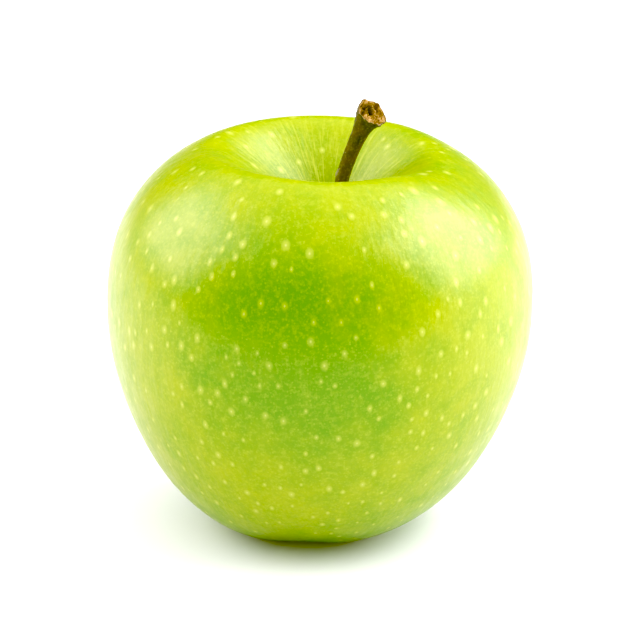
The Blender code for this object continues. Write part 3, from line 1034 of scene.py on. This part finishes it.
lean = add_node(
    tree, "ShaderNodeVectorMath", {0: position, "Scale": given["Spread"]}, operation="SCALE"
).outputs[0]
lean = add_node(
    tree, "ShaderNodeVectorMath", {0: (0.0, 0.0, 1.0), 1: lean}, operation="SUBTRACT"
).outputs[0]
tilt = add_node(tree, "FunctionNodeAlignRotationToVector", {"Vector": lean}, axis="Z").outputs[0]
chance = add_node(
    tree, "FunctionNodeRandomValue", {"Min": 0.75, "Max": 1.0, "Seed": given["Seed"]}, data_type="FLOAT"
).outputs["Value"]
tuft = add_node(
    tree,
    "GeometryNodeInstanceOnPoints",
    {"Points": spots, "Instance": stamen.outputs[0], "Rotation": tilt, "Scale": chance},
).outputs[0]
tuft = add_node(tree, "GeometryNodeRealizeInstances", {"Geometry": tuft}).outputs[0]
bend = add_node(
    tree, "ShaderNodeTexNoise", {"Vector": position, "Scale": 330.0, "Detail": 1.0}
).outputs["Color"]
bend = add_node(
    tree,
    "ShaderNodeVectorMath",
    {0: bend, 1: (0.5, 0.5, 0.5)},
    operation="SUBTRACT",
).outputs[0]
bend = add_node(
    tree,
    "ShaderNodeVectorMath",
    {0: bend, "Scale": given["Curl"]},
    operation="SCALE",
).outputs[0]
tuft = add_node(tree, "GeometryNodeSetPosition", {"Geometry": tuft, "Offset": bend}).outputs[0]
plug = add_node(
    tree,
    "GeometryNodeMeshCone",
    {
        "Vertices": 40,
        "Side Segments": 10,
        "Fill Segments": 8,
        "Radius Top": given["Plug radius"],
        "Radius Bottom": given["Plug radius"],
        "Depth": given["Plug length"],
    },
).outputs["Mesh"]
cork = add_node(
    tree, "ShaderNodeTexNoise", {"Vector": position, "Scale": 1300.0, "Detail": 3.0}
).outputs["Color"]
cork = add_node(
    tree,
    "ShaderNodeVectorMath",
    {0: cork, 1: (0.5, 0.5, 0.5)},
    operation="SUBTRACT",
).outputs[0]
cork = add_node(tree, "ShaderNodeVectorMath", {0: cork, "Scale": 0.5 * MM}, operation="SCALE").outputs[0]
plug = add_node(tree, "GeometryNodeSetPosition", {"Geometry": plug, "Offset": cork}).outputs[0]
whole = add_node(tree, "GeometryNodeJoinGeometry")
tree.links.new(tuft, whole.inputs[0])
tree.links.new(plug, whole.inputs[0])
end_tree(tree, whole.outputs[0], thread)
stamens = grow("dried_stamens", bpy.data.meshes.new("stamen_base"), tree, STAMEN_SIZES)
low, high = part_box("stamen_tuft")
move = (low + high) / 2.0
move.z = high.z - max(vert.co.z for vert in stamens.data.vertices)
stamens.data.transform(Matrix.Translation(move))
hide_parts("stamen_tuft")
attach(stamens, "root")


# ---------------------------------------------------------------------------------------------
# Studio: a white table, a large soft box on each side, a dim wide panel over it, and a pale room.

floor_mesh = bpy.data.meshes.new("table")
floor_mesh.from_pydata(
    [(-4.0, -4.0, 0.0), (4.0, -4.0, 0.0), (4.0, 4.0, 0.0), (-4.0, 4.0, 0.0)], [], [(0, 1, 2, 3)]
)
table_white, tree, shader = start_material("white_acrylic_table")
shader.inputs["Base Color"].default_value = linear("#e8e8e8")
shader.inputs["Roughness"].default_value = 0.6
shader.inputs["Specular IOR Level"].default_value = 0.1
floor_mesh.materials.append(table_white)
table = bpy.data.objects.new("table", floor_mesh)
table.location.z = -0.0001
bpy.context.scene.collection.objects.link(table)

AIM = Vector((0.0, 0.0, 0.0392))


def add_softbox(name, azimuth, elevation, distance, wide, tall, brightness):
    """A soft box that faces the fruit and looks wide and tall by these angles from there."""
    data = bpy.data.lights.new(name, "AREA")
    data.shape = "RECTANGLE"
    data.size = 2.0 * distance * math.tan(math.radians(wide / 2.0))
    data.size_y = 2.0 * distance * math.tan(math.radians(tall / 2.0))
    data.energy = brightness * math.pi * data.size * data.size_y
    lamp = bpy.data.objects.new(name, data)
    turn = math.radians(azimuth)
    rise = math.radians(elevation)
    away = Vector((math.sin(turn) * math.cos(rise), -math.cos(turn) * math.cos(rise), math.sin(rise)))
    lamp.location = AIM + away * distance
    lamp.rotation_euler = away.to_track_quat("Z", "Y").to_euler()
    bpy.context.scene.collection.objects.link(lamp)


add_softbox("left_softbox", -100.0, 31.0, 3.0, 52.0, 42.0, 4.2)
add_softbox("right_softbox", 99.0, 33.0, 3.0, 58.0, 54.0, 5.6)
add_softbox("ceiling_panel", 0.0, 88.0, 1.6, 100.0, 100.0, 1.05)

world = bpy.data.worlds.new("pale_room")
world.use_nodes = True
bpy.context.scene.world = world
tree = world.node_tree
background = tree.nodes["Background"]
ray = add_node(tree, "ShaderNodeLightPath").outputs["Is Glossy Ray"]
strength = add_node(tree, "ShaderNodeMapRange", {"Value": ray, "To Min": 0.75, "To Max": 0.3})
tree.links.new(strength.outputs["Result"], background.inputs["Strength"])
background.inputs["Color"].default_value = (1.0, 1.0, 1.0, 1.0)

CAMERA_RISE = math.radians(20.0)
CAMERA_DISTANCE = 0.55
camera_data = bpy.data.cameras.new("camera")
camera_data.lens = 165.0
camera = bpy.data.objects.new("camera", camera_data)
back = Vector((0.0, -math.cos(CAMERA_RISE), math.sin(CAMERA_RISE)))
camera.location = AIM + back * CAMERA_DISTANCE
camera.rotation_euler = back.to_track_quat("Z", "Y").to_euler()
bpy.context.scene.collection.objects.link(camera)
bpy.context.scene.camera = camera
# The picture is graded for strong greens: its black point is high in blue.
BLACK_POINT = (0.004, 0.004, 0.100)
view = bpy.context.scene.view_settings
view.view_transform = "Standard"
view.use_curve_mapping = True
view.curve_mapping.black_level = BLACK_POINT
view.curve_mapping.update()
